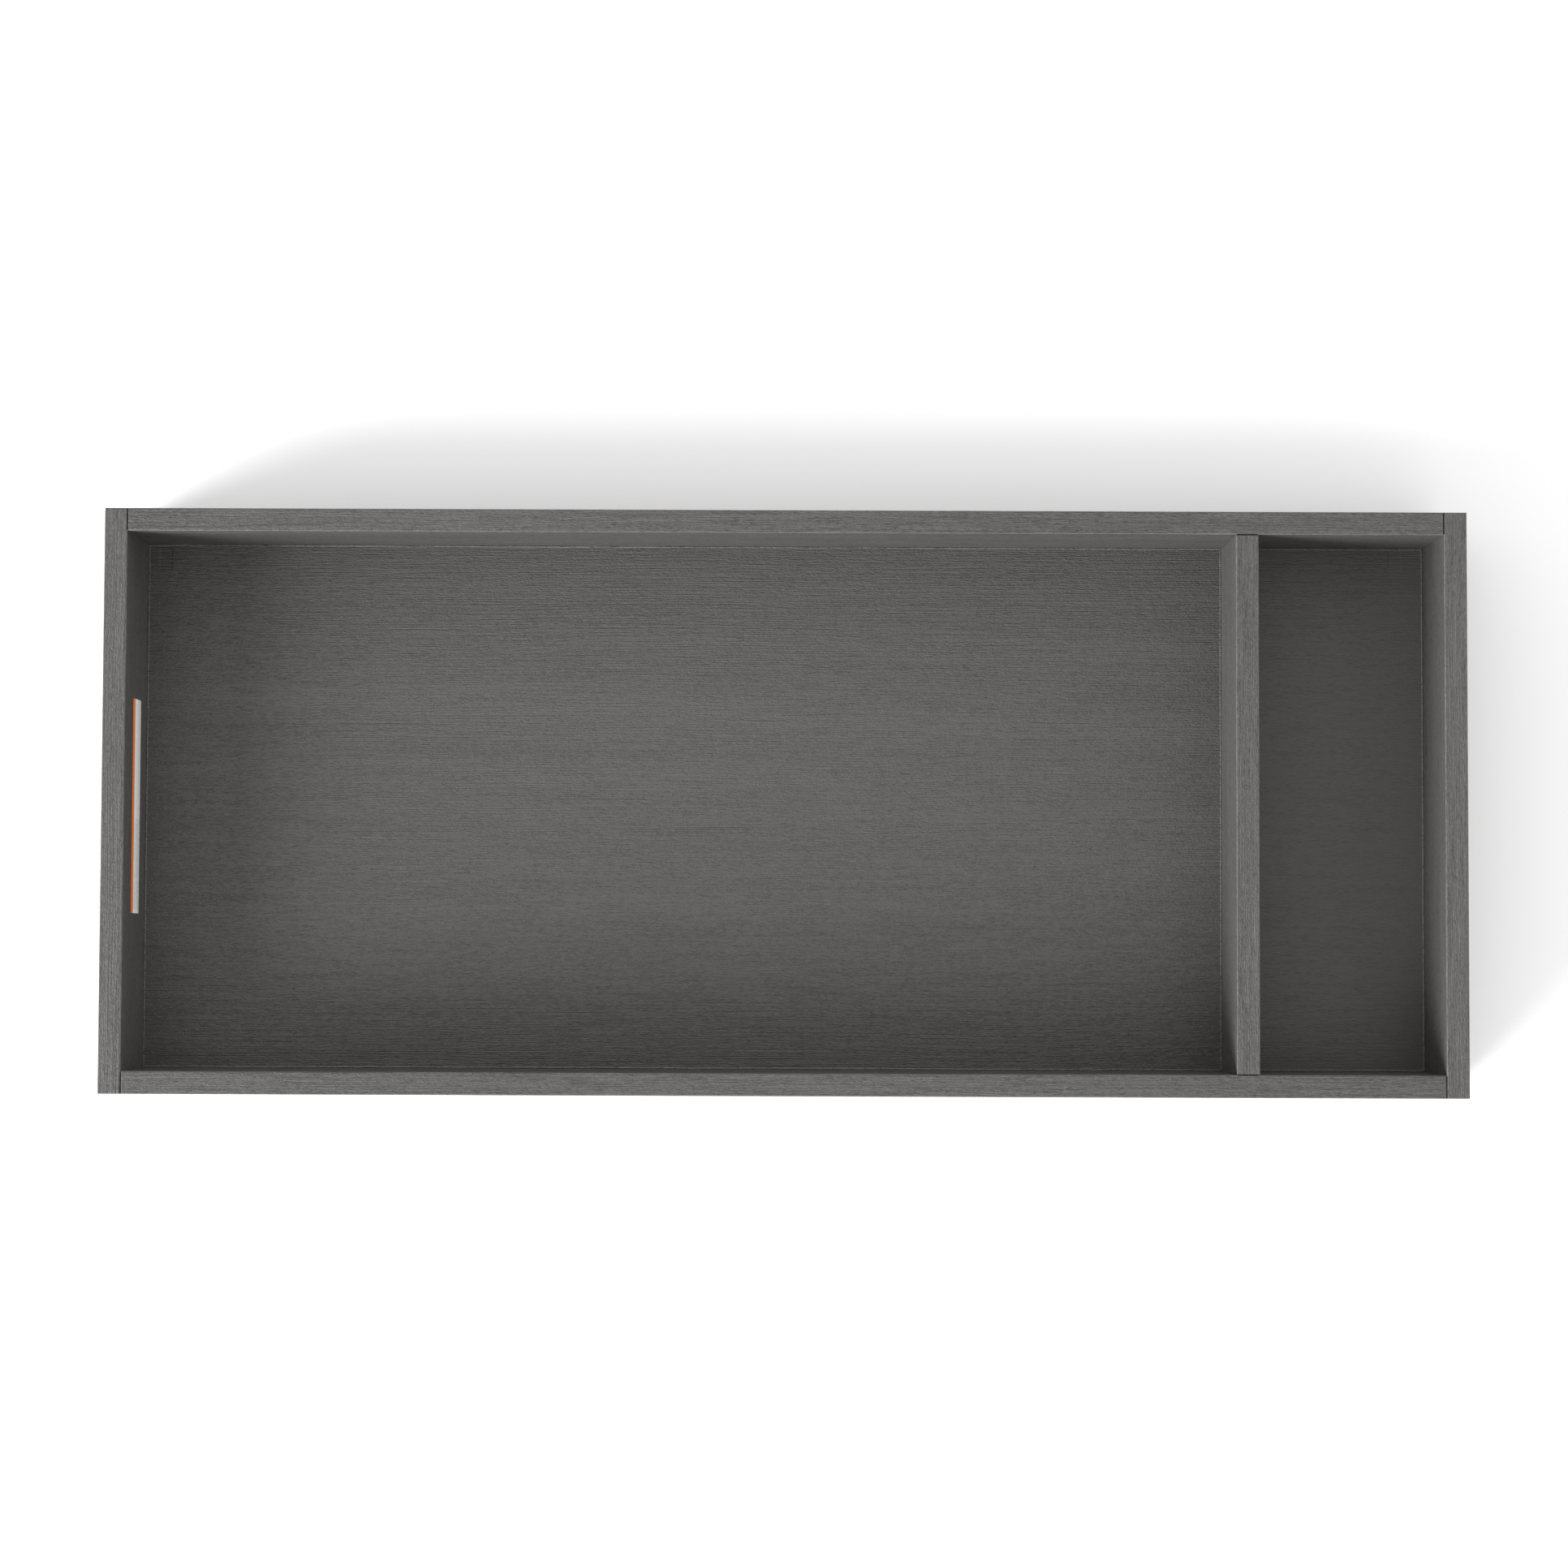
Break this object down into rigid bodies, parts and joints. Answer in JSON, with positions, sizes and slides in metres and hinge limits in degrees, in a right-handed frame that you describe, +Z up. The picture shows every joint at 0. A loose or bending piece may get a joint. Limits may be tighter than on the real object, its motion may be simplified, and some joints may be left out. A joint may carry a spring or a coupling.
{
  "type": "two-bay wooden tray",
  "caption": "Open flat-bottomed wooden tray with a long main bay and a narrow side bay, dowelled corners and a fixed divider.",
  "frame": {"origin": "centre of the underside, level with the bottoms of the anti-slip pads", "axes": "+X along the tray's length towards the side bay, +Y towards the back rail, +Z up out of the open top"},
  "size_m": [1.067, 0.458, 0.114],
  "materials": {
    "stained_board": "charcoal stain under satin lacquer, open grain",
    "stained_panel": "charcoal stain under satin lacquer, veneered",
    "stained_cleat": "charcoal stain, thin lacquer",
    "beech_dowel": "bare beech",
    "yellow_zinc": "yellow zinc plate",
    "bright_zinc": "bright zinc plate",
    "pad_rubber": "matt",
    "label_paper": "coated paper, orange band over pale grey"
  },
  "bodies": {
    "root": {"left_end_board": "stained_board", "right_end_board": "stained_board", "front_rail": "stained_board", "back_rail": "stained_board", "divider_board": "stained_board", "main_base_panel": "stained_panel", "side_base_panel": "stained_panel", "main_front_cleat": "stained_cleat", "main_back_cleat": "stained_cleat", "main_left_cleat": "stained_cleat", "main_right_cleat": "stained_cleat", "side_front_cleat": "stained_cleat", "side_back_cleat": "stained_cleat", "side_left_cleat": "stained_cleat", "side_right_cleat": "stained_cleat", "cross_batten": "stained_cleat", "front_left_dowels": "beech_dowel", "back_left_dowels": "beech_dowel", "front_right_dowels": "beech_dowel", "back_right_dowels": "beech_dowel", "divider_front_dowels": "beech_dowel", "divider_back_dowels": "beech_dowel", "cleat_screws": "yellow_zinc", "main_panel_screws": "yellow_zinc", "side_panel_screws": "yellow_zinc", "batten_screws": "yellow_zinc", "threaded_inserts": "bright_zinc", "front_left_pad": "pad_rubber", "front_middle_pad": "pad_rubber", "front_right_pad": "pad_rubber", "back_left_pad": "pad_rubber", "back_middle_pad": "pad_rubber", "back_right_pad": "pad_rubber", "contents_label": "label_paper"}
  },
  "joints": []
}
